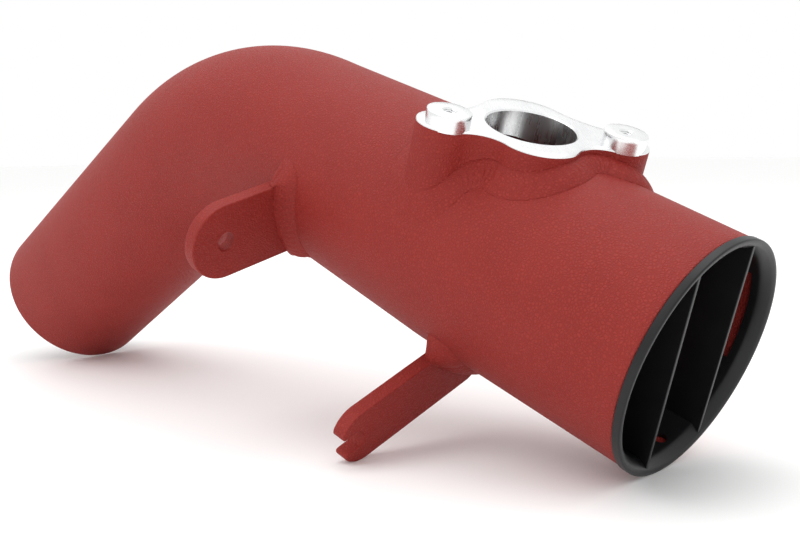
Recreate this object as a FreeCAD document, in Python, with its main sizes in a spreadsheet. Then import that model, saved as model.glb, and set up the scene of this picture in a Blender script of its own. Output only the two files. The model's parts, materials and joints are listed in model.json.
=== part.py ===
import math
import os

import FreeCAD
import Part
import Sketcher

V = FreeCAD.Vector
os.makedirs("parts", exist_ok=True)
doc = FreeCAD.newDocument("intake_pipe")

# ---------------------------------------------------------------- sizes
# All lengths in millimetres, all angles in degrees.
# Pipe frame: origin at the centre of the mouth end of the tube, +x out of the
# mouth, +z away from the inside of the bend, +y to the side without brackets.
SIZES = [
    ("mouth_od", 76.2, "outside diameter at the mouth"),
    ("leg_od", 69.85, "outside diameter after the taper"),
    ("tube_wall", 2.0, "wall of the tube"),
    ("run_length", 166.6, "mouth end to the start of the bend"),
    ("cone_start", 83.3, "mouth end to the start of the taper"),
    ("bend_radius", 84.2, "centre line radius of the bend"),
    ("bend_angle", 52.4, "angle of the bend"),
    ("leg_length", 118.9, "straight leg after the bend"),
    ("flange_station", 74.1, "mouth end to the sensor bore axis"),
    ("flange_rise", 5.9, "crest of the tube to the machined flange face"),
    ("flange_roll", 7.3, "roll of the sensor bore about the tube axis"),
    ("flange_tip", 0.5, "lean of the sensor bore towards the mouth"),
    ("flange_turn", 51.2, "turn of the flange length from the tube axis"),
    ("flange_depth", 36.0, "depth of the blank before it is saddled"),
    ("corner_shift", 11.0, "bore axis to the centre of a rounded corner, across the flange"),
    ("front_radius", 13.0, "rounded corner of the flange on the side of the lobes"),
    ("back_radius", 14.5, "rounded corner of the flange on the other side"),
    ("lobe_radius", 9.2, "round ends of the flange"),
    ("lobe_x", 28.0, "lobe centre from the bore axis, along the flange"),
    ("lobe_y", 4.3, "lobe centre from the bore axis, across the flange"),
    ("front_blend", 10.0, "hollow between the front corner and a lobe"),
    ("back_blend", 30.0, "hollow between the back corner and a lobe"),
    ("bore_diameter", 28.9, "sensor bore"),
    ("boss_diameter", 14.0, "raised screw boss"),
    ("boss_height", 4.4, "rise of the screw boss"),
    ("boss_spacing", 55.8, "tapped hole to tapped hole"),
    ("boss_shift", 6.8, "line of the tapped holes from the bore axis"),
    ("tap_diameter", 3.3, "core of the M4 tapped hole"),
    ("tap_depth", 12.0, "depth of the tapped hole"),
    ("flange_bead", 4.0, "width and height of the weld round the flange foot"),
    ("plate_fillet", 5.0, "leg of the welds at the brackets"),
    ("plate_thickness", 5.0, "bracket plate"),
    ("upper_station", 144.8, "mouth end to the near face of the upper bracket"),
    ("upper_angle", 15.0, "slope of the upper bracket below level"),
    ("upper_hole_out", 59.7, "tube axis to the upper bracket hole"),
    ("upper_hole_angle", 22.4, "direction of the upper bracket hole"),
    ("upper_width", 28.0, "width of the upper bracket"),
    ("upper_hole", 6.6, "hole of the upper bracket"),
    ("lower_station", 70.1, "mouth end to the near face of the lower bracket"),
    ("lower_angle", 24.5, "slope of the lower bracket below level"),
    ("lower_offset", 30.5, "tube axis to the centre line of the lower bracket"),
    ("lower_reach", 78.5, "reach of the lower bracket along its centre line"),
    ("lower_width", 19.4, "width of the lower bracket"),
    ("lower_root", 22.0, "station on the centre line where the lower edge turns in"),
    ("lower_tuck", 34.0, "tube axis to the lower edge where it runs into the tube"),
    ("slot_width", 6.4, "open slot in the tip of the lower bracket"),
    ("slot_depth", 10.0, "tip to the end of the slot"),
    ("lip_step", 0.5, "step of the insert lip above the tube"),
    ("lip_length", 2.7, "lip proud of the tube end"),
    ("lip_face", 1.6, "outside of the lip to its thin front edge"),
    ("sleeve_wall", 1.7, "wall of the insert sleeve"),
    ("sleeve_length", 22.0, "insert sleeve inside the tube"),
    ("vane_thickness", 1.3, "vane"),
    ("vane_offset", 14.2, "tube axis to the middle of a vane"),
    ("vane_roll", 12.0, "roll of the vanes about the tube axis"),
    ("vane_recess", 0.7, "lip front to the front edge of a vane"),
    ("vane_tail", 20.0, "tube end to the back edge of a vane"),
    ("lock_hole", 4.5, "round hole in the sleeve"),
    ("lock_station", 4.6, "tube end to the round hole"),
    ("lock_angle", 73.5, "round hole below level, on the plain side"),
    ("window_front", 3.4, "tube end to the front of the sleeve window"),
    ("window_back", 17.0, "tube end to the back of the sleeve window"),
    ("window_top", 40.0, "upper end of the sleeve window, above level"),
    ("window_bottom", 14.0, "lower end of the sleeve window, below level"),
]

sheet = doc.addObject("Spreadsheet::Sheet", "Sizes")
value = {}
for row, (alias, number, note) in enumerate(SIZES, start=1):
    sheet.set("A%d" % row, alias)
    sheet.set("B%d" % row, str(number))
    sheet.set("C%d" % row, note)
    sheet.setAlias("B%d" % row, alias)
    value[alias] = number
doc.recompute()


def size(alias):
    return value[alias]


MOUTH_R = size("mouth_od") / 2
LEG_R = size("leg_od") / 2
WALL = size("tube_wall")
RUN = size("run_length")
CONE = size("cone_start")
FLANGE_HEIGHT = MOUTH_R + size("flange_rise")


# ---------------------------------------------------------------- helpers
def new_body(name):
    body = doc.addObject("PartDesign::Body", name)
    body.Label = name
    return body


def origin_plane(body, role):
    for item in body.Origin.OriginFeatures:
        if item.Role == role:
            return item
    raise ValueError(role)


def new_sketch(body, name, role, offset=None):
    sketch = body.newObject("Sketcher::SketchObject", name)
    sketch.AttachmentSupport = [(origin_plane(body, role), "")]
    sketch.MapMode = "FlatFace"
    if offset is not None:
        sketch.AttachmentOffset = offset
    return sketch


def polygon(sketch, points):
    """Closed outline of straight lines."""
    count = len(points)
    first = sketch.GeometryCount
    for i in range(count):
        start = V(points[i][0], points[i][1], 0)
        end = V(points[(i + 1) % count][0], points[(i + 1) % count][1], 0)
        sketch.addGeometry(Part.LineSegment(start, end), False)
    join_ends(sketch, first, count)


def join_ends(sketch, first, count):
    """Tie each curve of a closed outline to the next at their common corner."""
    for i in range(count):
        here = first + i
        after = first + (i + 1) % count
        pairs = []
        for a in (1, 2):
            for b in (1, 2):
                gap = sketch.getPoint(here, a).distanceToPoint(sketch.getPoint(after, b))
                pairs.append((gap, a, b))
        gap, a, b = min(pairs)
        sketch.addConstraint(Sketcher.Constraint("Coincident", here, a, after, b))


def circle(sketch, x, y, alias, half=True):
    """Circle whose radius is driven by a cell of the sheet."""
    radius = size(alias) / 2 if half else size(alias)
    index = sketch.addGeometry(Part.Circle(V(x, y, 0), V(0, 0, 1), radius), False)
    number = sketch.addConstraint(Sketcher.Constraint("Radius", index, radius))
    text = "Sizes.%s / 2" % alias if half else "Sizes.%s" % alias
    sketch.setExpression("Constraints[%d]" % number, text)
    return index


def arc_between(centre, start, end, clockwise):
    """Arc from start to end about a centre, as a geometry through three points."""
    a = math.atan2(start[1] - centre[1], start[0] - centre[0])
    b = math.atan2(end[1] - centre[1], end[0] - centre[0])
    if clockwise:
        while b > a:
            b -= 2 * math.pi
    else:
        while b < a:
            b += 2 * math.pi
    radius = math.hypot(start[0] - centre[0], start[1] - centre[1])
    middle = (a + b) / 2
    mid = V(centre[0] + radius * math.cos(middle), centre[1] + radius * math.sin(middle), 0)
    return Part.Arc(V(start[0], start[1], 0), mid, V(end[0], end[1], 0))


def pad(body, name, sketch, alias, backwards=False):
    doc.recompute()
    feature = body.newObject("PartDesign::Pad", name)
    feature.Profile = sketch
    feature.Length = size(alias)
    feature.setExpression("Length", "Sizes.%s" % alias)
    feature.Reversed = backwards
    doc.recompute()
    return feature


def pocket(body, name, sketch, alias=None, length=None, backwards=False):
    doc.recompute()
    feature = body.newObject("PartDesign::Pocket", name)
    feature.Profile = sketch
    if alias:
        feature.Length = size(alias)
        feature.setExpression("Length", "Sizes.%s" % alias)
    else:
        feature.Length = length
    feature.Reversed = backwards
    doc.recompute()
    return feature


def turned(body, kind, name, sketch, angle=360.0, axis="H_Axis", alias=None):
    doc.recompute()
    feature = body.newObject(kind, name)
    feature.Profile = sketch
    feature.ReferenceAxis = (sketch, [axis])
    feature.Angle = angle
    if alias:
        feature.setExpression("Angle", "Sizes.%s" % alias)
    doc.recompute()
    return feature


def outer_radius(x):
    """Outside radius of the straight run at a station x (negative into the tube)."""
    along = min(max(-x - CONE, 0.0), RUN - CONE)
    return MOUTH_R + (LEG_R - MOUTH_R) * along / (RUN - CONE)


# Solid outline of the straight run, on the plane through its axis.
ENVELOPE = [(0, 0), (0, MOUTH_R), (-CONE, MOUTH_R), (-RUN, LEG_R), (-RUN, 0)]


def saddle(body, name):
    """Cut a body to the outside of the straight run."""
    sketch = new_sketch(body, name + "_outline", "XZ_Plane")
    polygon(sketch, ENVELOPE)
    return turned(body, "PartDesign::Groove", name, sketch)


def skim(body, name, rise):
    """Cut away all of a body that stands more than a given rise above the run."""
    sketch = new_sketch(body, name + "_outline", "XZ_Plane")
    skin = [(x, r + rise) for x, r in ENVELOPE[1:4]]
    polygon(sketch, skin + [(-RUN, 3 * MOUTH_R), (0, 3 * MOUTH_R)])
    return turned(body, "PartDesign::Groove", name, sketch)


# ---------------------------------------------------------------- tube
# One bent tube, held as three lengths that meet face to face where the bend
# starts and ends.
bend = math.radians(size("bend_angle"))
bend_r = size("bend_radius")
tube_run = new_body("intake_tube_run")
run_sketch = new_sketch(tube_run, "run_wall", "XZ_Plane")
polygon(run_sketch, [
    (0, MOUTH_R),
    (-CONE, MOUTH_R),
    (-RUN, LEG_R),
    (-RUN, LEG_R - WALL),
    (-CONE, MOUTH_R - WALL),
    (0, MOUTH_R - WALL),
])
turned(tube_run, "PartDesign::Revolution", "run", run_sketch)


def leg_section(body, name, offset):
    """Sketch of the plain tube section after the taper."""
    sketch = new_sketch(body, name, "YZ_Plane", offset)
    circle(sketch, 0, 0, "leg_od")
    inner = sketch.addGeometry(Part.Circle(V(0, 0, 0), V(0, 0, 1), LEG_R - WALL), False)
    number = sketch.addConstraint(Sketcher.Constraint("Radius", inner, LEG_R - WALL))
    sketch.setExpression("Constraints[%d]" % number, "Sizes.leg_od / 2 - Sizes.tube_wall")
    return sketch


tube_bend = new_body("intake_tube_bend")
bend_sketch = leg_section(
    tube_bend, "bend_section", FreeCAD.Placement(V(0, 0, -RUN), FreeCAD.Rotation())
)
bend_sketch.addGeometry(Part.LineSegment(V(10, -bend_r, 0), V(-10, -bend_r, 0)), True)
turned(
    tube_bend, "PartDesign::Revolution", "bend", bend_sketch, size("bend_angle"), "Axis0", "bend_angle"
)

bend_end = V(-RUN - bend_r * math.sin(bend), 0, -bend_r * (1 - math.cos(bend)))
leg_way = V(-math.cos(bend), 0, -math.sin(bend))
tube_leg = new_body("intake_tube_leg")
leg_sketch = leg_section(
    tube_leg, "leg_section",
    FreeCAD.Placement(
        V(0, bend_end.z, bend_end.x),
        FreeCAD.Rotation(V(1, 0, 0), -size("bend_angle")),
    ),
)
pad(tube_leg, "leg", leg_sketch, "leg_length", backwards=True)

# ---------------------------------------------------------------- flange
flange_lean = FreeCAD.Rotation(V(1, 0, 0), size("flange_roll")).multiply(
    FreeCAD.Rotation(V(0, 1, 0), size("flange_tip"))
)
flange_up = flange_lean.multVec(V(0, 0, 1))
flange_top = V(-size("flange_station"), 0, 0) + flange_up * FLANGE_HEIGHT
flange_rotation = flange_lean.multiply(FreeCAD.Rotation(V(0, 0, 1), size("flange_turn")))
flange_frame = FreeCAD.Placement(flange_top, flange_rotation)

LOBE = size("lobe_radius")
FRONT = ((0.0, -size("corner_shift")), size("front_radius"), size("front_blend"))
BACK = ((0.0, size("corner_shift")), size("back_radius"), size("back_blend"))


def blend_centre(lobe, corner, side):
    """Centre of the concave arc touching a rounded corner and one lobe."""
    centre, radius, blend = corner
    dx = lobe[0] - centre[0]
    dy = lobe[1] - centre[1]
    reach = math.hypot(dx, dy)
    far = radius + blend
    near = LOBE + blend
    along = (far * far - near * near + reach * reach) / (2 * reach)
    across = math.sqrt(far * far - along * along)
    ux, uy = dx / reach, dy / reach
    x = centre[0] + ux * along - side * uy * across
    y = centre[1] + uy * along + side * ux * across
    return (x, y)


def toward(start, target, distance):
    reach = math.hypot(target[0] - start[0], target[1] - start[1])
    return (
        start[0] + (target[0] - start[0]) * distance / reach,
        start[1] + (target[1] - start[1]) * distance / reach,
    )


def flange_outline(grow=0.0):
    """Eight arcs, anticlockwise: lobe, blend, corner, blend, and again."""
    lobe_r = LOBE + grow
    right = (size("lobe_x"), -size("lobe_y"))
    left = (-size("lobe_x"), -size("lobe_y"))
    right_front = blend_centre(right, FRONT, -1)
    right_back = blend_centre(right, BACK, 1)
    left_back = blend_centre(left, BACK, -1)
    left_front = blend_centre(left, FRONT, 1)
    arcs = []
    for lobe, before, after, corner, follow, other in (
        (right, right_front, right_back, BACK, left_back, left),
        (left, left_back, left_front, FRONT, right_front, right),
    ):
        centre = corner[0]
        corner_r = corner[1] + grow
        lobe_in = toward(lobe, before, lobe_r)
        lobe_out = toward(lobe, after, lobe_r)
        corner_in = toward(centre, after, corner_r)
        corner_out = toward(centre, follow, corner_r)
        next_lobe = toward(other, follow, lobe_r)
        arcs.append(arc_between(lobe, lobe_in, lobe_out, False))
        arcs.append(arc_between(after, lobe_out, corner_in, True))
        arcs.append(arc_between(centre, corner_in, corner_out, False))
        arcs.append(arc_between(follow, corner_out, next_lobe, True))
    return arcs


flange = new_body("sensor_flange")
outline = new_sketch(flange, "flange_outline", "XY_Plane", flange_frame)
for arc in flange_outline():
    outline.addGeometry(arc, False)
pad(flange, "blank", outline, "flange_depth", backwards=True)
saddle(flange, "saddle")
boss_x = size("boss_spacing") / 2
bosses = new_sketch(flange, "boss_circles", "XY_Plane", flange_frame)
for side in (-1, 1):
    circle(bosses, side * boss_x, -size("boss_shift"), "boss_diameter")
pad(flange, "bosses", bosses, "boss_height")
bore = new_sketch(flange, "bore_circle", "XY_Plane", flange_frame)
circle(bore, 0, 0, "bore_diameter")
pocket(flange, "bore", bore, length=FLANGE_HEIGHT)
boss_frame = FreeCAD.Placement(flange_top + flange_up * size("boss_height"), flange_rotation)
taps = new_sketch(flange, "tap_circles", "XY_Plane", boss_frame)
for side in (-1, 1):
    circle(taps, side * boss_x, -size("boss_shift"), "tap_diameter")
pocket(flange, "taps", taps, "tap_depth")

tube_bore = new_sketch(tube_run, "sensor_opening", "XY_Plane", flange_frame)
circle(tube_bore, 0, 0, "bore_diameter")
pocket(tube_run, "opening", tube_bore, length=FLANGE_HEIGHT)


# ---------------------------------------------------------------- brackets
def plate_body(name, offset, end_radius, root):
    """Flat plate with a full round end at its local origin, standing on the tube."""
    body = new_body(name)
    sketch = new_sketch(body, name + "_outline", "YZ_Plane", offset)
    sketch.addGeometry(
        Part.Arc(V(0, -end_radius, 0), V(end_radius, 0, 0), V(0, end_radius, 0)), False
    )
    chain = [(0, end_radius)] + root + [(0, -end_radius)]
    for a, b in zip(chain, chain[1:]):
        sketch.addGeometry(Part.LineSegment(V(a[0], a[1], 0), V(b[0], b[1], 0)), False)
    join_ends(sketch, 0, len(chain))
    pad(body, name + "_plate", sketch, "plate_thickness")
    saddle(body, name + "_seat")
    return body


def plate_offset(y, z, station, angle):
    """Local +x of the sketch points away from the tube, down by the angle."""
    back_face = -(station + size("plate_thickness"))
    return FreeCAD.Placement(V(y, z, back_face), FreeCAD.Rotation(V(0, 0, 1), 180 + angle))


hole_way = math.radians(size("upper_hole_angle"))
hole_y = -size("upper_hole_out") * math.cos(hole_way)
hole_z = -size("upper_hole_out") * math.sin(hole_way)
upper_offset = plate_offset(hole_y, hole_z, size("upper_station"), size("upper_angle"))
upper_half = size("upper_width") / 2
upper_back = -0.7 * size("upper_hole_out")
upper = plate_body("upper_bracket", upper_offset, upper_half, [
    (upper_back, upper_half),
    (upper_back, -upper_half),
])
upper_hole = new_sketch(upper, "upper_hole_circle", "YZ_Plane", upper_offset)
circle(upper_hole, 0, 0, "upper_hole")
pocket(upper, "upper_drilling", upper_hole, "plate_thickness", backwards=True)

slope = math.radians(size("lower_angle"))
end_out = size("lower_reach") - size("lower_width") / 2
lower_y = -(end_out * math.cos(slope) - size("lower_offset") * math.sin(slope))
lower_z = -(end_out * math.sin(slope) + size("lower_offset") * math.cos(slope))
lower_offset = plate_offset(lower_y, lower_z, size("lower_station"), size("lower_angle"))
lower_half = size("lower_width") / 2
lower = plate_body("lower_bracket", lower_offset, lower_half, [
    (size("lower_root") - end_out, lower_half),
    (-end_out, size("lower_tuck") - size("lower_offset")),
    (-end_out, -lower_half),
])
slot = new_sketch(lower, "slot_outline", "YZ_Plane", lower_offset)
slot_r = size("slot_width") / 2
slot_in = size("lower_width") / 2 - size("slot_depth") + slot_r
slot_out = size("lower_width") / 2 + 5
slot.addGeometry(Part.LineSegment(V(slot_in, -slot_r, 0), V(slot_out, -slot_r, 0)), False)
slot.addGeometry(Part.LineSegment(V(slot_out, -slot_r, 0), V(slot_out, slot_r, 0)), False)
slot.addGeometry(Part.LineSegment(V(slot_out, slot_r, 0), V(slot_in, slot_r, 0)), False)
slot.addGeometry(
    Part.Arc(V(slot_in, slot_r, 0), V(slot_in - slot_r, 0, 0), V(slot_in, -slot_r, 0)), False
)
join_ends(slot, 0, 4)
pocket(lower, "slot", slot, "plate_thickness", backwards=True)

# ---------------------------------------------------------------- insert
ring = new_body("straightener_ring")
LIP_R = MOUTH_R + size("lip_step")
LIP = size("lip_length")
EDGE = LIP_R - size("lip_face")
SLEEVE = MOUTH_R - WALL - size("sleeve_wall")
DEEP = size("sleeve_length")
ring_sketch = new_sketch(ring, "ring_section", "XZ_Plane")


def bell_points():
    """Front edge, a middle point and the throat of the bell mouth."""
    return (LIP, EDGE), (LIP - 2.3, SLEEVE + 0.62), (-1.4, SLEEVE)


def ring_section(sketch, trim):
    """Section of the ring, or of everything outside its inside face."""
    front, middle, throat = bell_points()
    first = sketch.GeometryCount
    sketch.addGeometry(
        Part.Arc(V(front[0], front[1], 0), V(middle[0], middle[1], 0), V(throat[0], throat[1], 0)),
        False,
    )
    if trim:
        chain = [throat, (-60, SLEEVE), (-60, 2 * MOUTH_R), (20, 2 * MOUTH_R), (20, EDGE), front]
    else:
        chain = [
            throat, (-DEEP, SLEEVE), (-DEEP, MOUTH_R - WALL), (0, MOUTH_R - WALL),
            (0, LIP_R), (LIP - 0.5, LIP_R), (LIP, LIP_R - 0.5), front,
        ]
    for a, b in zip(chain, chain[1:]):
        sketch.addGeometry(Part.LineSegment(V(a[0], a[1], 0), V(b[0], b[1], 0)), False)
    join_ends(sketch, first, len(chain))


ring_section(ring_sketch, False)
turned(ring, "PartDesign::Revolution", "ring", ring_sketch)
lock = math.radians(size("lock_angle"))
lock_frame = FreeCAD.Placement(
    V(-size("lock_station"), 0, 0),
    FreeCAD.Rotation(V(0, 0, 1), V(0, math.cos(lock), -math.sin(lock))),
)
lock_sketch = new_sketch(ring, "lock_circle", "XY_Plane", lock_frame)
circle(lock_sketch, 0, 0, "lock_hole")
pocket(ring, "lock", lock_sketch, length=50.0, backwards=True)
window_mid = math.radians((size("window_top") - size("window_bottom")) / 2)
window_half = math.radians((size("window_top") + size("window_bottom")) / 2)
window_frame = FreeCAD.Placement(
    V(0, 0, 0), FreeCAD.Rotation(V(1, 0, 0), math.degrees(window_mid))
)
window_sketch = new_sketch(ring, "window_outline", "XZ_Plane", window_frame)
window_z = SLEEVE * math.sin(window_half)
polygon(window_sketch, [
    (-size("window_front"), -window_z),
    (-size("window_front"), window_z),
    (-size("window_back"), window_z),
    (-size("window_back"), -window_z),
])
pocket(ring, "window", window_sketch, length=50.0, backwards=False)


def vane_body(name, side):
    """Flat vane across the insert, its ends on the inside face of the ring."""
    body = new_body(name)
    frame = FreeCAD.Placement(V(0, 0, 0), FreeCAD.Rotation(V(1, 0, 0), size("vane_roll")))
    sketch = new_sketch(body, name + "_outline", "XY_Plane", frame)
    half = size("vane_thickness") / 2
    middle = side * size("vane_offset")
    front = LIP - size("vane_recess")
    polygon(sketch, [
        (front, middle - half),
        (front, middle + half),
        (-size("vane_tail"), middle + half),
        (-size("vane_tail"), middle - half),
    ])
    doc.recompute()
    feature = body.newObject("PartDesign::Pad", name + "_blade")
    feature.Profile = sketch
    feature.Midplane = True
    feature.Length = 3 * MOUTH_R
    doc.recompute()
    trim = new_sketch(body, name + "_trim_outline", "XZ_Plane")
    ring_section(trim, True)
    turned(body, "PartDesign::Groove", name + "_trim", trim)
    return body


vane_near = vane_body("straightener_vane_near", -1)
vane_far = vane_body("straightener_vane_far", 1)
doc.recompute()

# ---------------------------------------------------------------- welds
# The bead round the flange follows its outline at the foot.
flange_weld = new_body("sensor_flange_weld")
collar = new_sketch(flange_weld, "flange_weld_outline", "XY_Plane", flange_frame)
for arc in flange_outline(size("flange_bead")):
    collar.addGeometry(arc, False)
pad(flange_weld, "flange_weld_blank", collar, "flange_depth", backwards=True)
saddle(flange_weld, "flange_weld_saddle")
skim(flange_weld, "flange_weld_skim", size("flange_bead"))
core = new_sketch(flange_weld, "flange_weld_core", "XY_Plane", flange_frame)
for arc in flange_outline():
    core.addGeometry(arc, False)
pocket(flange_weld, "flange_weld_opening", core, "flange_depth")

# The straight run as a solid, its seam on the plain side, away from the brackets.
run_solid = Part.makePolygon([V(x, r, 0) for x, r in ENVELOPE] + [V(0, 0, 0)])
run_solid = Part.Face(run_solid).revolve(V(0, 0, 0), V(1, 0, 0), 360)


def on_run(point):
    """True where a point lies on the outside of the straight run."""
    return abs(math.hypot(point.y, point.z) - outer_radius(point.x)) < 0.02


def foot_weld(block, leg):
    """Concave bead in the corner between a block and the tube."""
    joined = run_solid.fuse(block).removeSplitter()
    feet = []
    for edge in joined.Edges:
        first, last = edge.ParameterRange
        points = [edge.valueAt(first + (last - first) * k / 4.0) for k in range(5)]
        on_axis = max(math.hypot(p.y, p.z) for p in points) < 1
        seam = len(joined.ancestorsOfType(edge, Part.Face)) < 2
        hoop = any(
            all(abs(p.x - station) < 1e-3 for p in points) for station in (0, -CONE, -RUN)
        )
        if on_axis or seam or hoop or not all(on_run(p) for p in points):
            continue
        feet.append(edge)
    filled = joined.makeFillet(leg, feet)
    return filled.cut(joined)


# Each bracket carries its bead on the side towards the mouth.
welds = []
for name, body, station in (
    ("upper_bracket_weld", upper, size("upper_station")),
    ("lower_bracket_weld", lower, size("lower_station")),
):
    plate = doc.getObject(body.Name + "_plate").Shape.copy()
    bead = foot_weld(plate, size("plate_fillet"))
    middle = -(station + size("plate_thickness") / 2)
    mouth_half = Part.makeBox(200, 400, 400, V(middle, -200, -200))
    solids = bead.common(mouth_half).Solids
    solids.sort(key=lambda s: -s.Volume)
    weld = doc.addObject("Part::Feature", name)
    weld.Label = name
    weld.Shape = solids[0] if len(solids) == 1 else Part.makeCompound(solids)
    welds.append(weld)

# ---------------------------------------------------------------- rest pose
# The part stands on the lip, the leg end and the tip of the lower bracket.
leg_end = bend_end + leg_way * size("leg_length")
ALONG = V(1, 0, 0)
FEET = [
    (V(LIP - 0.5, 0, 0), ALONG, LIP_R),
    (leg_end, leg_way, LEG_R),
    (V(-size("lower_station"), lower_y, lower_z), ALONG, size("lower_width") / 2),
]


def attitude(pitch, lean):
    return FreeCAD.Rotation(V(0, 1, 0), pitch).multiply(FreeCAD.Rotation(V(1, 0, 0), lean))


def lowest(rotation, foot):
    """Height of the lowest point of a round edge."""
    centre, axis, radius = foot
    tilt = rotation.multVec(axis).z
    return rotation.multVec(centre).z - radius * math.sqrt(1 - tilt * tilt)


pitch, lean = 21.36, 2.29
for _ in range(20):
    now = [lowest(attitude(pitch, lean), foot) for foot in FEET]
    up_p = [lowest(attitude(pitch + 0.01, lean), foot) for foot in FEET]
    up_l = [lowest(attitude(pitch, lean + 0.01), foot) for foot in FEET]
    gap = (now[1] - now[0], now[2] - now[0])
    by_p = [((up_p[i] - up_p[0]) - (now[i] - now[0])) / 0.01 for i in (1, 2)]
    by_l = [((up_l[i] - up_l[0]) - (now[i] - now[0])) / 0.01 for i in (1, 2)]
    det = by_p[0] * by_l[1] - by_p[1] * by_l[0]
    pitch -= (gap[0] * by_l[1] - gap[1] * by_l[0]) / det
    lean -= (by_p[0] * gap[1] - by_p[1] * gap[0]) / det
print("rest pose", round(pitch, 3), round(lean, 3))

everything = [
    tube_run, tube_bend, tube_leg, flange, flange_weld,
    upper, lower, ring, vane_near, vane_far,
] + welds
rest = FreeCAD.Placement(V(0, 0, 0), attitude(pitch, lean))
box = FreeCAD.BoundBox()
for item in everything:
    shape = item.Shape.copy()
    shape.Placement = rest.multiply(shape.Placement)
    box.add(shape.optimalBoundingBox(False))
rest.Base = V(-box.Center.x, -box.Center.y, -box.ZMin)
print("overall", round(box.XLength, 2), round(box.YLength, 2), round(box.ZLength, 2))
for item in everything:
    item.Placement = rest
doc.recompute()

# ---------------------------------------------------------------- export
for item in doc.Objects:
    if "Invalid" in item.State or "Error" in item.State:
        raise RuntimeError("%s: %s" % (item.Name, item.State))
for item in everything:
    shape = item.Shape
    if shape.isNull() or not shape.isValid() or shape.Volume <= 0:
        raise RuntimeError("%s: bad shape" % item.Label)
    print("%-34s solids %d  volume %10.1f" % (item.Label, len(shape.Solids), shape.Volume))
    shape.exportStep("parts/%s.step" % item.Label)
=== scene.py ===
"""A bent intake pipe in red wrinkle coat, with a machined sensor flange, two
welded tabs and a black moulded flow straightener in its mouth."""

import json
import math

import bmesh
import bpy
from mathutils import Matrix, Vector, noise


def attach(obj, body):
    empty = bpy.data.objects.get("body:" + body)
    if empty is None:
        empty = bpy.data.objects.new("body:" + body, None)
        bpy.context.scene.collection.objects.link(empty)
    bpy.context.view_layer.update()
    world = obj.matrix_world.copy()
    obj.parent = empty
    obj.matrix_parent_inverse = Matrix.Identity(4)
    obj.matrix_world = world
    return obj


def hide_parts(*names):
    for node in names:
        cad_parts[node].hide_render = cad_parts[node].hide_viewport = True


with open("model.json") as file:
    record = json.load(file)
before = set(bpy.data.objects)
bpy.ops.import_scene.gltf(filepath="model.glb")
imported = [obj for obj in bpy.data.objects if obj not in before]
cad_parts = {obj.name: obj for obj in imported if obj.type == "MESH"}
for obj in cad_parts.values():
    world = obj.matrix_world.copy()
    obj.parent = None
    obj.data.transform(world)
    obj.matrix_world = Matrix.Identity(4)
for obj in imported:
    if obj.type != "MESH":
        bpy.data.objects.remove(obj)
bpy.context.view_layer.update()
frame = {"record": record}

# ---------------------------------------------------------------- pipe frame
# Pieces are drawn in millimetres in the pipe's own frame: origin at the centre
# of the mouth end, +x out of the mouth, +z away from the inside of the bend.
MM = 0.001
TAU = 2 * math.pi
MOUNTS = {mount["name"]: mount for mount in frame["record"]["mounts"]}


def mount_place(name):
    return Vector(MOUNTS[name]["pos_m"])


def mount_way(name):
    return Vector(MOUNTS[name]["axis"]).normalized()


def mount_size(name, key):
    return MOUNTS[name]["dims"][key]


MOUTH_GRIP = 18.0  # the mouth mount lies this far inside the mouth end
PIPE_X = mount_way("mouth_end")
PIPE_Y = PIPE_X.cross(mount_way("leg_end")).normalized()
PIPE_Z = PIPE_X.cross(PIPE_Y)
MOUTH = mount_place("mouth_end") + MOUTH_GRIP * MM * PIPE_X
TO_ROW = Matrix.Translation(MOUTH) @ Matrix((PIPE_X, PIPE_Y, PIPE_Z)).transposed().to_4x4()
TO_ROW = TO_ROW @ Matrix.Scale(MM, 4)
TO_PIPE = TO_ROW.inverted()


def pipe_point(name):
    """A mount's place in the pipe frame, in millimetres."""
    return TO_PIPE @ mount_place(name)


def pipe_way(name):
    return (TO_PIPE.to_3x3() @ mount_way(name)).normalized()


# ---------------------------------------------------------------- sizes, mm
MOUTH_R = 38.1
LEG_R = mount_size("leg_end", "r_mm")
WALL = 2.0
CONE = 83.3  # the taper starts this far in
RUN = 166.6  # and ends here, where the bend starts
BEND_R = 84.2
BEND = math.pi - PIPE_X.angle(mount_way("leg_end"))
LEG = mount_size("leg_end", "length_mm")
TUBE_END_ROUND = 0.7
TUBE_STEP = 2.5  # between rings of the tube
AROUND = 176  # corners round the tube
OPENING_GAP = 0.04  # opening in the tube, past the flange's bore

BORE_R = mount_size("sensor_bore", "r_mm")
TAP_R = mount_size("flange_tap_near", "r_mm")
TAP_DEPTH = mount_size("flange_tap_near", "length_mm")
THREAD_PITCH = 0.7
THREAD_HALF = 0.16  # half of the thread's depth
LOBE_R = 9.2
LOBE_AT = (28.0, -4.3)
# A rounded corner of the flange: centre, radius, and the hollow between it and a lobe.
FRONT = ((0.0, -11.0), 13.0, 10.0)
BACK = ((0.0, 11.0), 14.5, 30.0)
BARE_EDGE = 0.6  # bare bevel round the machined face
BORE_BEVEL = 0.5
SOCKET_R = 2.3  # room left in the flange for the threaded hole of a boss
SOCKET_DEPTH = 9.2
BOSS_R = 7.0
BOSS_RISE = 4.4
BOSS_EDGE = 0.4
BOSS_FOOT = 0.8  # a boss starts this far below the face
BOSS_CORE_R = 2.7  # metal round the thread, below the foot
COUNTERSINK_R = 2.35
COUNTERSINK = 0.5

PLATE = 5.0
PLATE_EDGE = 0.8
HOLE_BEVEL = 0.5
ROOT_DEPTH = 0.9  # plates and beads run this far into the tube wall
UPPER_SLOPE = math.radians(15.0)
UPPER_HALF = 14.0
LOWER_HALF = 9.7
LOWER_ROOT = 22.0
LOWER_TUCK = 34.0
LOWER_OFFSET = 30.5
SLOT_HALF = 3.2
SLOT_DEPTH = 10.0
PRONG_ROUND = 2.4  # rounding of the prongs, along the slot
PRONG_TURN = 0.28  # and round the tip, in radians

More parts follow.
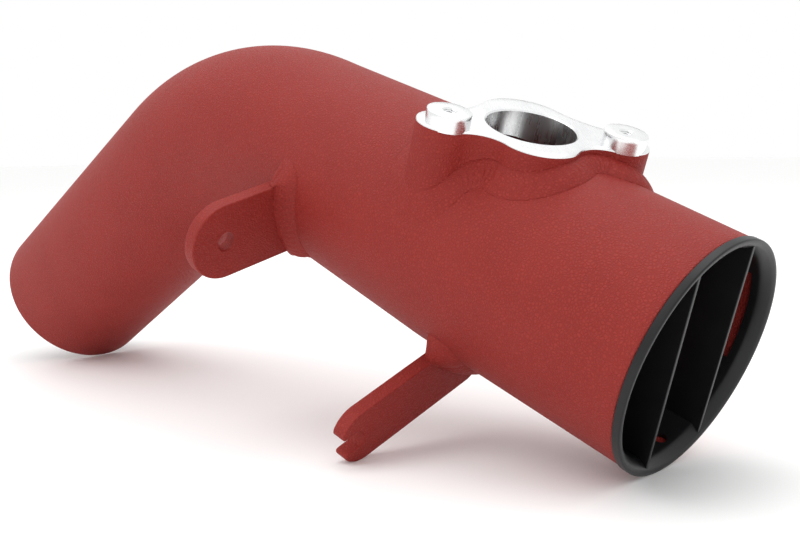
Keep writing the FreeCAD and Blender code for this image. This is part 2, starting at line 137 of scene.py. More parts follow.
LIP_R = 38.6
LIP = 2.7
LIP_EDGE_R = 37.0
SLEEVE_R = 34.4
SLEEVE_OUT_R = MOUTH_R - WALL
SLEEVE = 22.0
SLEEVE_GAP = 0.05
LIP_ROUND = 0.55
WINDOW_FRONT = 3.4  # window in the far side of the sleeve, from the tube end
WINDOW_BACK = 17.0
WINDOW_LOW = -14.0  # degrees above level
WINDOW_HIGH = 40.0
LOCK_R = 2.25  # round hole in the sleeve
LOCK_STATION = 4.6
LOCK_ANGLE = math.radians(-73.5)
VANE = 1.3
VANE_OFFSET = 14.2
VANE_ROLL = math.radians(12.0)
VANE_FRONT = 2.0
VANE_BACK = -20.0
VANE_EDGE = 0.35
VANE_LET_IN = 0.25  # how far a vane's ends go into the ring
THROAT = -1.4  # where the bell meets the sleeve
BELL_MIDDLE = (LIP - 2.3, SLEEVE_R + 0.62)  # where the bell is at its mid length


def outer_radius(x):
    """Outside radius of the straight run at a station x, negative into the pipe."""
    along = min(max(-x - CONE, 0.0), RUN - CONE)
    return MOUTH_R + (LEG_R - MOUTH_R) * along / (RUN - CONE)


def centre_line(s):
    """Centre of the tube at a distance s from the mouth, and its upward side."""
    turned = min(max(s - RUN, 0.0) / BEND_R, BEND)
    up = Vector((-math.sin(turned), 0, math.cos(turned)))
    ahead = Vector((-math.cos(turned), 0, -math.sin(turned)))
    beyond = s - turned * BEND_R
    if s > RUN:
        return Vector((-RUN, 0, -BEND_R)) + BEND_R * up + (beyond - RUN) * ahead, up
    return Vector((-s, 0, 0)), up


# ---------------------------------------------------------------- shader maths
class Wire:
    """An output of a node, which can stand in sums."""

    def __init__(self, paint, socket):
        self.paint = paint
        self.socket = socket

    def sum_of(self, operation, first, second):
        return self.paint.node("ShaderNodeMath", {"operation": operation}, {0: first, 1: second})

    def __add__(self, other):
        return self.sum_of("ADD", self, other)

    def __mul__(self, other):
        return self.sum_of("MULTIPLY", self, other)

    __radd__ = __add__
    __rmul__ = __mul__


class Paint:
    """The nodes of one finish."""

    def __init__(self, name):
        self.material = bpy.data.materials.new(name)
        self.material.use_nodes = True
        self.tree = self.material.node_tree
        self.shader = self.tree.nodes["Principled BSDF"]

    def node(self, kind, settings=None, feeds=None, output=0):
        made = self.tree.nodes.new(kind)
        for name, setting in (settings or {}).items():
            setattr(made, name, setting)
        for name, feed in (feeds or {}).items():
            self.connect(made.inputs[name], feed)
        return Wire(self, made.outputs[output])

    def connect(self, socket, feed):
        if isinstance(feed, Wire):
            self.tree.links.new(feed.socket, socket)
        else:
            socket.default_value = feed

    def shade(self, **feeds):
        for name, feed in feeds.items():
            self.connect(self.shader.inputs[name.replace("_", " ")], feed)

    def place(self):
        """Where a point of the surface is, in metres."""
        return self.node("ShaderNodeTexCoord", output="Object")

    def grain(self, size_mm, detail, at=None, output=0):
        """Noise from 0 to 1 whose blotches are about size_mm across."""
        feeds = {"Vector": at or self.place(), "Scale": 1 / (size_mm * MM), "Detail": detail}
        return self.node("ShaderNodeTexNoise", {}, feeds, output)

    def ramp(self, factor, low, high):
        """0 below low, 1 above high, and an easy curve between."""
        settings = {"interpolation_type": "SMOOTHSTEP"}
        return self.node("ShaderNodeMapRange", settings, {0: factor, 1: low, 2: high})

    def blend(self, factor, first, second):
        """A colour between two colours."""
        settings = {"data_type": "RGBA"}
        return self.node("ShaderNodeMix", settings, {0: factor, 6: first, 7: second}, 2)

    def relief(self, height, depth_mm, strength):
        feeds = {"Height": height, "Distance": depth_mm * MM, "Strength": strength}
        return self.node("ShaderNodeBump", {}, feeds)


def rgb(red, green, blue):
    return (red, green, blue, 1.0)


CELL = 1.0  # one cell of the coat, mm
CELL_DRIFT = 1.2  # how far the cells are pushed about
DRIFT_SIZE = 1.7
CELL_RELIEF = 0.20


def wrinkle_coat():
    """Red powder coat that dries in fine leathery cells, with painted shade in the grooves between
    the cells.
    """
    paint = Paint("red_wrinkle_coat")
    drift = paint.grain(DRIFT_SIZE, 2.0, output=1)
    bend = {0: drift, 1: (CELL_DRIFT * MM,) * 3, 2: paint.place()}
    warped = paint.node("ShaderNodeVectorMath", {"operation": "MULTIPLY_ADD"}, bend)
    cells = paint.node(
        "ShaderNodeTexVoronoi",
        {"feature": "DISTANCE_TO_EDGE"},
        {"Vector": warped, "Scale": 1 / (CELL * MM)},
    )
    crown = paint.ramp(cells, 0.0, 0.34)
    fine = paint.grain(0.45, 2.0)
    patch = paint.grain(20.0, 3.0)
    speck = paint.grain(2.2, 3.0)
    # The colour darkens from the cell crowns into the grooves: painted shade in the grooves, mixed
    # with a random patchy tone.
    groove_shade = paint.blend(patch, rgb(0.212, 0.011, 0.007), rgb(0.252, 0.015, 0.010))
    high = paint.blend(speck, rgb(0.250, 0.015, 0.010), rgb(0.345, 0.035, 0.026))
    paint.shade(
        # Base colour follows the height of the cells, so the grooves carry painted shade.
        Base_Color=paint.blend(crown * 0.7 + patch * 0.3, groove_shade, high),
        Roughness=0.50 + 0.20 * speck,
        Normal=paint.relief(crown * 0.7 + fine * 0.3, CELL_RELIEF, 0.9),
        Specular_IOR_Level=0.30,
    )
    return paint.material


def machined_metal(name, lines_across):
    """Bare aluminium with fine cutter marks, scaled along the flange's own axes."""
    paint = Paint(name)
    turn = TO_ROW.to_3x3().normalized() @ FLANGE.to_3x3()
    shift = {"Vector": paint.place(), "Rotation": turn.to_euler()}
    local = paint.node("ShaderNodeMapping", {"vector_type": "TEXTURE"}, shift)
    marks = paint.node("ShaderNodeMapping", {}, {"Vector": local, "Scale": lines_across})
    streak = paint.grain(1.0, 3.0, at=marks)
    cloud = paint.grain(6.0, 2.0)
    paint.shade(
        Base_Color=paint.blend(cloud, rgb(0.76, 0.77, 0.78), rgb(0.88, 0.88, 0.88)),
        Metallic=1.0,
        Roughness=0.20 + 0.10 * streak + 0.05 * cloud,
        Normal=paint.relief(streak, 0.006, 0.3),
    )
    return paint.material


def black_moulding():
    """Satin black plastic with a faint moulded grain."""
    paint = Paint("black_moulding")
    skin = paint.grain(0.35, 2.0)
    flow = paint.grain(9.0, 2.0)
    paint.shade(
        Base_Color=paint.blend(flow, rgb(0.004, 0.004, 0.005), rgb(0.009, 0.009, 0.010)),
        Roughness=0.30 + 0.14 * skin + 0.06 * flow,
        Normal=paint.relief(skin, 0.02, 0.35),
        Specular_IOR_Level=0.34,
    )
    return paint.material


# ---------------------------------------------------------------- mesh tools
def loft(rings, loop=False, caps=False):
    """Faces between closed rings of equal count; the last joins the first in a loop."""
    count = len(rings[0])
    points = [point for ring in rings for point in ring]
    faces = []
    for i in range(len(rings) - (0 if loop else 1)):
        here = i * count
        after = (i + 1) % len(rings) * count
        for j in range(count):
            k = (j + 1) % count
            faces.append((here + j, here + k, after + k, after + j))
    if caps:
        faces.append(tuple(range(count)))
        faces.append(tuple(range(len(points) - count, len(points))))
    return points, faces


def hoop(along, radii, base):
    """Ring of points about the first axis of a placement, one for each radius."""
    ring = []
    for j, radius in enumerate(radii):
        angle = TAU * j / len(radii)
        ring.append(base @ Vector((along, radius * math.cos(angle), radius * math.sin(angle))))
    return ring


def lathe(profile, around, base, loop=False, caps=False):
    """Turn (along, radius) pairs about the first axis of a placement."""
    rings = [hoop(along, [radius] * around, base) for along, radius in profile]
    return loft(rings, loop, caps)


def mesh_object(name, points, faces, matrix=TO_ROW):
    mesh = bpy.data.meshes.new(name)
    mesh.from_pydata([matrix @ Vector(point) for point in points], [], faces)
    work = bmesh.new()
    work.from_mesh(mesh)
    bmesh.ops.recalc_face_normals(work, faces=work.faces)
    work.to_mesh(mesh)
    work.free()
    made = bpy.data.objects.new(name, mesh)
    bpy.context.collection.objects.link(made)
    return made


def settle(made):
    """Turn a piece's modifiers into its mesh."""
    depsgraph = bpy.context.evaluated_depsgraph_get()
    solid = bpy.data.meshes.new_from_object(made.evaluated_get(depsgraph))
    old = made.data
    made.modifiers.clear()
    made.data = solid
    bpy.data.meshes.remove(old)


def round_edges(made, width):
    bevel = made.modifiers.new("edges", "BEVEL")
    bevel.width = width * MM
    bevel.segments = 3
    bevel.limit_method = "ANGLE"
    bevel.angle_limit = math.radians(40.0)
    settle(made)


def cut_away(made, *cutters):
    """Take the cutters out of a piece, and remove them."""
    for cutter in cutters:
        cut = made.modifiers.new("cut", "BOOLEAN")
        cut.operation = "DIFFERENCE"
        cut.solver = "EXACT"
        cut.object = cutter
    settle(made)
    for cutter in cutters:
        bpy.data.objects.remove(cutter)


def show(made, finishes, nodes, crease=32.0):
    """Finish a piece: smooth shading, materials, and the CAD nodes it stands for."""
    made.data.shade_smooth()
    made.data.set_sharp_from_angle(angle=math.radians(crease))
    made.data.materials.clear()
    for finish in finishes:
        made.data.materials.append(finish)
    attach(made, "root")
    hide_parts(*nodes)


def flat_normals(made):
    """Let large faces keep their own direction where they meet rounded edges."""
    keep = made.modifiers.new("faces", "WEIGHTED_NORMAL")
    keep.keep_sharp = True
    keep.weight = 100


def spaced(start, end, step):
    """Even stations from start to end, about a step apart."""
    count = max(1, round(abs(end - start) / step))
    return [start + (end - start) * i / count for i in range(count + 1)]


def arc(centre, radius, start, end, count):
    """Points on an arc in a plane, both ends included."""
    points = []
    for i in range(count + 1):
        angle = start + (end - start) * i / count
        points.append((centre[0] + radius * math.cos(angle), centre[1] + radius * math.sin(angle)))
    return points


# ---------------------------------------------------------------- flange frame
def flange_frame():
    """x from the near tapped hole to the far one, z out of the bore, at its face."""
    up = pipe_way("sensor_bore")
    across = pipe_point("flange_tap_far") - pipe_point("flange_tap_near")
    across = (across - up * across.dot(up)).normalized()
    on_axis = pipe_point("sensor_bore")
    on_axis += up * (pipe_point("sensor_face") - on_axis).dot(up)
    turn = Matrix((across, up.cross(across), up)).transposed().to_4x4()
    return Matrix.Translation(on_axis) @ turn


FLANGE = flange_frame()
FLANGE_UP = FLANGE.to_3x3() @ Vector((0, 0, 1))
UPRIGHT = Matrix(((0, 1, 0, 0), (0, 0, 1, 0), (1, 0, 0, 0), (0, 0, 0, 1)))  # x out of the bore


def drop_height(u, v, sink):
    """Height (negative, below the face) of the tube's surface at (u, v)."""
    start = FLANGE @ Vector((u, v, 0))
    radius = outer_radius(start.x) - sink
    half = start.y * FLANGE_UP.y + start.z * FLANGE_UP.z
    lean = FLANGE_UP.y ** 2 + FLANGE_UP.z ** 2
    rest = start.y ** 2 + start.z ** 2 - radius ** 2
    root = max(half * half - lean * rest, 0.0)
    return (-half + math.sqrt(root)) / lean


def blend_centre(lobe, corner, side):
    """Centre of the hollow between a rounded corner and one lobe."""
    centre, radius, hollow = corner
    dx = lobe[0] - centre[0]
    dy = lobe[1] - centre[1]
    reach = math.hypot(dx, dy)
    far = radius + hollow
    near = LOBE_R + hollow
    along = (far * far - near * near + reach * reach) / (2 * reach)
    across = math.sqrt(far * far - along * along)
    ux, uy = dx / reach, dy / reach
    x = centre[0] + ux * along - side * uy * across
    y = centre[1] + uy * along + side * ux * across
    return (x, y)


def flange_outline(step):
    """(point, outward direction) pairs round the flange, anticlockwise."""
    right = LOBE_AT
    left = (-LOBE_AT[0], LOBE_AT[1])
    right_front = blend_centre(right, FRONT, -1)
    right_back = blend_centre(right, BACK, 1)
    left_back = blend_centre(left, BACK, -1)
    left_front = blend_centre(left, FRONT, 1)
    chain = []
    for lobe, before, after, corner, follow, other in (
        (right, right_front, right_back, BACK, left_back, left),
        (left, left_back, left_front, FRONT, right_front, right),
    ):
        centre, radius, hollow = corner
        chain.append((lobe, LOBE_R, before, after, 1))
        chain.append((after, hollow, lobe, centre, -1))
        chain.append((centre, radius, after, follow, 1))
        chain.append((follow, hollow, centre, other, -1))
    outline = []
    for centre, radius, start, end, bulge in chain:
        a = math.atan2(start[1] - centre[1], start[0] - centre[0])
        b = math.atan2(end[1] - centre[1], end[0] - centre[0])
        b += TAU * math.ceil((a - b) / TAU) if bulge > 0 else -TAU * math.ceil((b - a) / TAU)
        count = max(4, round(abs(b - a) * radius / step))
        for i in range(count):
            angle = a + (b - a) * i / count
            way = (math.cos(angle), math.sin(angle))
            point = (centre[0] + radius * way[0], centre[1] + radius * way[1])
            outline.append((point, (bulge * way[0], bulge * way[1])))
    return outline


# ---------------------------------------------------------------- tube
def tube_wall(length):
    """(distance along the tube, offset from its outside) round the wall's section."""
    edge = TUBE_END_ROUND
    corner = []
    for degrees in (0, 22.5, 45, 67.5, 90):
        turn = math.radians(degrees)
        corner.append((edge * math.sin(turn), edge - edge * math.cos(turn)))
    back = corner[::-1]
    near, far = TUBE_STEP, length - TUBE_STEP
    section = [(edge - a, -b) for a, b in back]
    section += [(s, 0.0) for s in spaced(near, far, TUBE_STEP)]
    section += [(length - edge + a, -b) for a, b in corner]
    section += [(length - edge + a, b - WALL) for a, b in back]
    section += [(s, -WALL) for s in spaced(far, near, 2 * TUBE_STEP)]
    section += [(edge - a, b - WALL) for a, b in corner]
    return section


def build_tube(coat):
    rings = []
    side = Vector((0, 1, 0))
    for s, offset in tube_wall(RUN + BEND_R * BEND + LEG):
        centre, up = centre_line(s)
        radius = outer_radius(-s) + offset
        ring = []
        for j in range(AROUND):
            angle = TAU * j / AROUND
            ring.append(centre + radius * (math.cos(angle) * side + math.sin(angle) * up))
        rings.append(ring)
    tube = mesh_object("tube", *loft(rings, loop=True))
    opening_r = BORE_R + OPENING_GAP
    opening = lathe([(3, opening_r), (-20, opening_r)], 96, FLANGE @ UPRIGHT, caps=True)
    cut_away(tube, mesh_object("opening", *opening))
    show(tube, [coat], ["intake_tube_run", "intake_tube_bend", "intake_tube_leg"])


# ---------------------------------------------------------------- flange
def build_flange(coat, face_metal, bore_metal):
    outline = flange_outline(0.9)

    def toward_bore(share):
        """(u, v) pairs part of the way from the bore, at 0, to the outline, at 1."""
        pairs = []
        for (u, v), way in outline:
            reach = math.hypot(u, v)
            x = BORE_R * u / reach
            y = BORE_R * v / reach
            pairs.append((x + (u - x) * share, y + (v - y) * share))
        return pairs

    def bore_ring(radius, height):
        ring = []
        for (u, v), way in outline:
            turn = math.atan2(v, u)
            ring.append(FLANGE @ Vector((radius * math.cos(turn), radius * math.sin(turn), height)))
        return ring

    def rim_ring(inset, height):
        return [
            FLANGE @ Vector((p[0] - n[0] * inset, p[1] - n[1] * inset, height)) for p, n in outline
        ]

    def face_ring(share):
        return [FLANGE @ Vector((u, v, 0.0)) for u, v in toward_bore(share)]

    def seat_ring(share, sink):
        return [FLANGE @ Vector((u, v, drop_height(u, v, sink))) for u, v in toward_bore(share)]

    def side_ring(share):
        """Part of the way down the side, from the bevel to the tube."""
        ring = []
        for (u, v), way in outline:
            foot = drop_height(u, v, ROOT_DEPTH)
            ring.append(FLANGE @ Vector((u, v, -BARE_EDGE + (foot + BARE_EDGE) * share)))
        return ring

    bore_rings = [seat_ring(0.0, WALL)]
    face_rings = [bore_ring(BORE_R, -BORE_BEVEL), bore_ring(BORE_R + BORE_BEVEL, 0.0)]
    face_rings += [face_ring(0.33), face_ring(0.66)]
    face_rings += [rim_ring(BARE_EDGE, 0.0), rim_ring(BARE_EDGE * 0.3, -BARE_EDGE * 0.3)]
    coat_rings = [rim_ring(0.0, -BARE_EDGE)]
    coat_rings += [side_ring(share) for share in (0.15, 0.3, 0.5, 0.75, 1.0)]
    coat_rings += [seat_ring(share, ROOT_DEPTH) for share in (0.6, 0.25, 0.01)]
    flange = mesh_object("flange", *loft(bore_rings + face_rings + coat_rings, loop=True))
    finish_of_ring = [2] * len(bore_rings) + [1] * len(face_rings) + [0] * len(coat_rings)
    for i, face in enumerate(flange.data.polygons):
        face.material_index = finish_of_ring[i // len(outline)]
    finishes = [coat, face_metal, bore_metal]
    for finish in finishes:
        flange.data.materials.append(finish)
    sockets = []
    for name in ("flange_tap_near", "flange_tap_far"):
        socket = lathe([(2, SOCKET_R), (-SOCKET_DEPTH, SOCKET_R)], 32, tap_base(name), caps=True)
        sockets.append(mesh_object("socket", *socket))
    cut_away(flange, *sockets)
    indices = [face.material_index for face in flange.data.polygons]
    show(flange, finishes, ["sensor_flange"])
    for face, index in zip(flange.data.polygons, indices):
        face.material_index = index


def tap_base(name):
    """Placement with its first axis up out of a tapped hole, at the flange face."""
    hole = FLANGE.inverted() @ pipe_point(name)
    return FLANGE @ Matrix.Translation((hole.x, hole.y, 0)) @ UPRIGHT


def build_boss(name, mount, metal):
    """Screw boss with a countersunk, threaded hole."""
    base = tap_base(mount)
    around = 72
    bottom = BOSS_RISE - TAP_DEPTH
    profile = [(bottom - 1.2, BOSS_CORE_R), (-BOSS_FOOT, BOSS_CORE_R), (-BOSS_FOOT, BOSS_R)]
    profile += [(h, BOSS_R) for h in spaced(0.0, BOSS_RISE - BOSS_EDGE, 1.0)]
    profile += [(BOSS_RISE - 0.12, BOSS_R - 0.12), (BOSS_RISE, BOSS_R - BOSS_EDGE)]
    profile += [(BOSS_RISE, 4.0), (BOSS_RISE, COUNTERSINK_R)]
    profile += [(BOSS_RISE - COUNTERSINK, COUNTERSINK_R - COUNTERSINK)]
    rings = [hoop(along, [radius] * around, base) for along, radius in profile]
    for along in spaced(BOSS_RISE - 0.7, bottom, THREAD_PITCH / 4):
        turns = [j / around - along / THREAD_PITCH for j in range(around)]
        radii = [TAP_R + THREAD_HALF * (1 + math.cos(TAU * turn)) for turn in turns]
        rings.append(hoop(along, radii, base))
    boss = mesh_object(name, *loft(rings, caps=True))
    show(boss, [metal], ["sensor_flange"])


# ---------------------------------------------------------------- weld beads
RIPPLE_PITCH = 2.4
RIPPLE = 0.45
CRESCENT = 2.2  # how far the ends of a ripple trail its middle
BEAD_FULL = 0.60  # 0 for a deep hollow bead, 1 for a square one
BEAD_WANDER = 0.10
BEAD_TURN = 1 / 8  # share of a plate's corner between two stations of its bead
# Legs of each bead, mm: up the wall, and out over the tube.
FLANGE_BEAD = (4.6, 6.2)
UPPER_BEAD = (3.6, 7.4)
LOWER_BEAD = (5.2, 8.6)
LUMP_R = 2.0
BEAD_BACK = 0.8  # how far a bead reaches into the wall that it stands against


def on_tube(point, sink=0.0):
    """The point of the run's outside straight in from a point."""
    reach = math.hypot(point.y, point.z)
    scale = (outer_radius(point.x) - sink) / reach
    return Vector((point.x, point.y * scale, point.z * scale))


def bead_mesh(stations, loop, seed):
    """A rippled bead. A station is (foot, up the wall, out over the tube, swell, legs)."""
    across = 12
    rings = []
    run = 0.0
    last = stations[0][0]
    for foot, up, out, swell, legs in stations:
        run += (foot - last).length + 0.25 * abs(swell - 1)
        last = foot
        wander = 1 + BEAD_WANDER * noise.noise(Vector((run * 0.16, seed, 0)))
        high = foot + up * legs[0] * swell * wander
        leg_out = legs[1] * swell
        reach = (on_tube(foot + out * leg_out * wander) - foot).length
        toe = on_tube(foot + out * leg_out * wander * leg_out / max(reach, 0.1))
        knee = foot + (high - foot) * BEAD_FULL + (toe - foot) * BEAD_FULL
        out_of_corner = ((high - foot).normalized() + (toe - foot).normalized()).normalized()
        inward = on_tube(foot) - on_tube(foot, 1.0)
        ring = [high - out * BEAD_BACK]
        for i in range(across + 1):
            q = i / across
            point = high * (1 - q) ** 2 + knee * (2 * q * (1 - q)) + toe * q ** 2
            crescent = run + CRESCENT * (2 * q - 1) ** 2
            ridge = abs(math.sin(math.pi * crescent / RIPPLE_PITCH)) ** 0.8
            lift = RIPPLE * (ridge - 0.5) * math.sin(math.pi * q) ** 0.6
            ring.append(point + out_of_corner * lift)
        ring.append(toe - inward * ROOT_DEPTH)
        ring.append(foot - inward * ROOT_DEPTH - out * BEAD_BACK)
        rings.append(ring)
    return loft(rings, loop=loop, caps=not loop)


def joined(*meshes):
    """Several closed shells as one mesh."""
    points = []
    faces = []
    for some, polygons in meshes:
        shift = len(points)
        points += some
        faces += [tuple(i + shift for i in face) for face in polygons]
    return points, faces


def blob(centre, radius):
    """Small round lump of weld metal."""
    tilts = [math.pi * i / 12 for i in range(1, 12)]
    profile = [(radius * math.cos(tilt), radius * math.sin(tilt)) for tilt in tilts]
    return lathe(profile, 24, Matrix.Translation(centre), caps=True)


def build_flange_bead(coat):
    stations = []
    for (u, v), (nu, nv) in flange_outline(0.55):
        depth = drop_height(u, v, 0.0)
        foot = FLANGE @ Vector((u, v, depth))
        out = FLANGE.to_3x3() @ Vector((nu, nv, 0))
        leg_up = min(FLANGE_BEAD[0], 0.66 * -depth)
        stations.append((foot, FLANGE_UP, out, 1.0, (leg_up, FLANGE_BEAD[1])))
    bead = mesh_object("flange_bead", *bead_mesh(stations, True, 3.0))
    show(bead, [coat], ["sensor_flange_weld"], crease=60)


def plate_bead(name, node, face_x, top, bottom, out_edges, legs, swells, seed, coat, extra=()):
    """Bead along a plate's mouth face, round both corners to the middle of the edges."""
    start_x = face_x - PLATE / 2
    stations = []

    def foot_at(x, angle):
        radius = outer_radius(x)
        return Vector((x, radius * math.cos(angle), radius * math.sin(angle)))

    def radial(angle):
        return Vector((0, math.cos(angle), math.sin(angle)))

    def around(angle, sense):
        return Vector((0, -math.sin(angle), math.cos(angle))) * sense

    face = Vector((1, 0, 0))
    sense = 1 if top > bottom else -1
    for x in spaced(start_x, face_x, 0.5)[:-1]:
        stations.append((foot_at(x, top), out_edges, around(top, sense), swells[0], legs))
    for share in spaced(0.0, 1.0, BEAD_TURN):
        turn = math.pi / 2 * share
        out = (around(top, sense) * math.cos(turn) + face * math.sin(turn)).normalized()
        up = (out_edges * (1 - share) + radial(top) * share).normalized()
        swell = swells[0] + (1 - swells[0]) * share
        stations.append((foot_at(face_x, top), up, out, swell, legs))
    for angle in spaced(top, bottom, 0.5 / MOUTH_R)[1:-1]:
        stations.append((foot_at(face_x, angle), radial(angle), face, 1.0, legs))
    for share in spaced(0.0, 1.0, BEAD_TURN):
        turn = math.pi / 2 * share
        out = (face * math.cos(turn) + around(bottom, -sense) * math.sin(turn)).normalized()
        up = (radial(bottom) * (1 - share) + out_edges * share).normalized()
        swell = 1 + (swells[1] - 1) * share
        stations.append((foot_at(face_x, bottom), up, out, swell, legs))
    for x in spaced(face_x, start_x, 0.5)[1:]:
        stations.append((foot_at(x, bottom), out_edges, around(bottom, -sense), swells[1], legs))
    mesh = joined(bead_mesh(stations, False, seed), *extra)
    show(mesh_object(name, *mesh), [coat], [node], crease=60)


# ---------------------------------------------------------------- tabs
def line_to_tube(start, way, radius):
    """Where a line across the tube's axis leaves a circle round it, in (y, z)."""
    along = start.dot(way)
    root = math.sqrt(max(along * along - start.dot(start) + radius * radius, 0.0))
    return start + way * (root - along)


def angle_of(point):
    """Direction of a (y, z) point from the tube's axis, from 0 to a full turn."""
    return math.atan2(point.y, point.x) % TAU


def slab(name, outline, thick, edge):
    """Plate between an outline and its copy moved by thick, with rounded edges."""
    rings = [outline, [point + thick for point in outline]]
    made = mesh_object(name, *loft(rings, caps=True))
    round_edges(made, edge)
    return made


def below(out):
    """Direction square to a tab's length, towards its lower edge."""
    return Vector((-out.y, out.x))


def tube_arc(start, end, radius):
    """Points on the tube's circle from one point to another, the short way."""
    a = math.atan2(start.y, start.x)
    b = math.atan2(end.y, end.x)
    b += TAU * round((a - b) / TAU)
    return [Vector(p) for p in arc((0, 0), radius, a, b, 24)]


def rounded(start, corner, end, count):
    """Points round a corner, both ends included."""
    points = []
    for i in range(count + 1):
        t = i / count
        points.append(tuple(
            a * (1 - t) ** 2 + b * (2 * t * (1 - t)) + c * t ** 2
            for a, b, c in zip(start, corner, end)
        ))
    return points


def in_plane(points, x):
    return [Vector((x, p[0], p[1])) for p in points]


def build_upper_tab(coat):
    hole = pipe_point("upper_bracket_hole")
    face_x = hole.x + PLATE / 2
    centre = Vector((hole.y, hole.z))
    out = Vector((-math.cos(UPPER_SLOPE), -math.sin(UPPER_SLOPE)))
    down = below(out)
    half_turn = arc((0, 0), UPPER_HALF, -math.pi / 2, math.pi / 2, 40)
    tip = [centre + out * a + down * b for a, b in half_turn]
    root_r = outer_radius(face_x) - ROOT_DEPTH
    low = line_to_tube(centre + down * UPPER_HALF, out, root_r)
    high = line_to_tube(centre - down * UPPER_HALF, out, root_r)
    outline = tip + tube_arc(low, high, root_r)
    tab = slab("upper_tab", in_plane(outline, face_x), Vector((-PLATE, 0, 0)), PLATE_EDGE)
    hole_r = mount_size("upper_bracket_hole", "r_mm")
    half = PLATE / 2
    profile = [
        (half + 1, hole_r + HOLE_BEVEL + 1), (half - HOLE_BEVEL, hole_r),
        (HOLE_BEVEL - half, hole_r), (-half - 1, hole_r + HOLE_BEVEL + 1),
    ]
    drill = lathe(profile, 48, Matrix.Translation(hole), caps=True)
    cut_away(tab, mesh_object("drill", *drill))
    show(tab, [coat], ["upper_bracket"])
    flat_normals(tab)
    foot_r = outer_radius(face_x)
    top = line_to_tube(centre - down * UPPER_HALF, out, foot_r)
    bottom = line_to_tube(centre + down * UPPER_HALF, out, foot_r)
    edge = Vector((0, out.x, out.y))
    plate_bead(
        "upper_tab_bead", "upper_bracket_weld", face_x, angle_of(top), angle_of(bottom), edge,
        UPPER_BEAD, (1.2, 0.4), 12.0, coat,
    )


def build_lower_tab(coat):
    way = pipe_way("lower_bracket_slot")
    slot_end = pipe_point("lower_bracket_slot")
    face_x = slot_end.x + PLATE / 2
    out = Vector((way.y, way.z)).normalized()
    down = below(out)
    centre = Vector((slot_end.y, slot_end.z)) + out * (SLOT_DEPTH - SLOT_HALF - LOWER_HALF)
    reach = centre.dot(out)
    opening = math.asin(SLOT_HALF / LOWER_HALF)
    slot_in = LOWER_HALF - SLOT_DEPTH + SLOT_HALF
    prong = opening + PRONG_TURN
    lip = LOWER_HALF * math.cos(opening)
    tip = (LOWER_HALF * math.cos(prong), LOWER_HALF * math.sin(prong))
    local = rounded((lip - PRONG_ROUND, SLOT_HALF), (lip, SLOT_HALF), tip, 6)
    local += arc((0, 0), LOWER_HALF, prong, math.pi / 2, 16)[1:]
    local += [(LOWER_ROOT - reach, LOWER_HALF), (-reach, LOWER_TUCK - LOWER_OFFSET)]
    lower_edge = [centre + out * a + down * b for a, b in local]
    back = arc((0, 0), LOWER_HALF, -math.pi / 2, -prong, 16)
    back += rounded((tip[0], -tip[1]), (lip, -SLOT_HALF), (lip - PRONG_ROUND, -SLOT_HALF), 6)[1:]
    back += arc((slot_in, 0), SLOT_HALF, -math.pi / 2, -3 * math.pi / 2, 20)
    upper_edge = [centre + out * a + down * b for a, b in back]
    root_r = outer_radius(face_x) - ROOT_DEPTH
    turn = (lower_edge[-1] - lower_edge[-2]).normalized()
    low = line_to_tube(lower_edge[-2], -turn, root_r)
    high = line_to_tube(upper_edge[0], out, root_r)
    outline = lower_edge[:-1] + tube_arc(low, high, root_r) + upper_edge
    tab = slab("lower_tab", in_plane(outline, face_x), Vector((-PLATE, 0, 0)), PLATE_EDGE)
    show(tab, [coat], ["lower_bracket"])
    flat_normals(tab)
    foot_r = outer_radius(face_x)
    top = line_to_tube(upper_edge[0], out, foot_r)
    bottom = line_to_tube(lower_edge[-2], -turn, foot_r)
    edge = Vector((0, out.x, out.y))
    lump = Vector((face_x - 0.6, top.x, top.y)) + edge * 3.4 - Vector((0, down.x, down.y)) * 2.6
    plate_bead(
        "lower_tab_bead", "lower_bracket_weld", face_x, angle_of(top), angle_of(bottom), edge,
        LOWER_BEAD, (1.3, 0.9), 22.0, coat, [blob(lump, LUMP_R)],
    )


# ---------------------------------------------------------------- straightener
def bell_curve(count):
    """(x, radius) from the front edge of the bell to its throat."""
    front = Vector((LIP, LIP_EDGE_R))
    middle = Vector(BELL_MIDDLE)
    throat = Vector((THROAT, SLEEVE_R))
    knee = 2 * middle - 0.5 * (front + throat)
    curve = []
    for i in range(count + 1):
        t = i / count
        curve.append(tuple(front * (1 - t) ** 2 + knee * (2 * t * (1 - t)) + throat * t ** 2))
    return curve


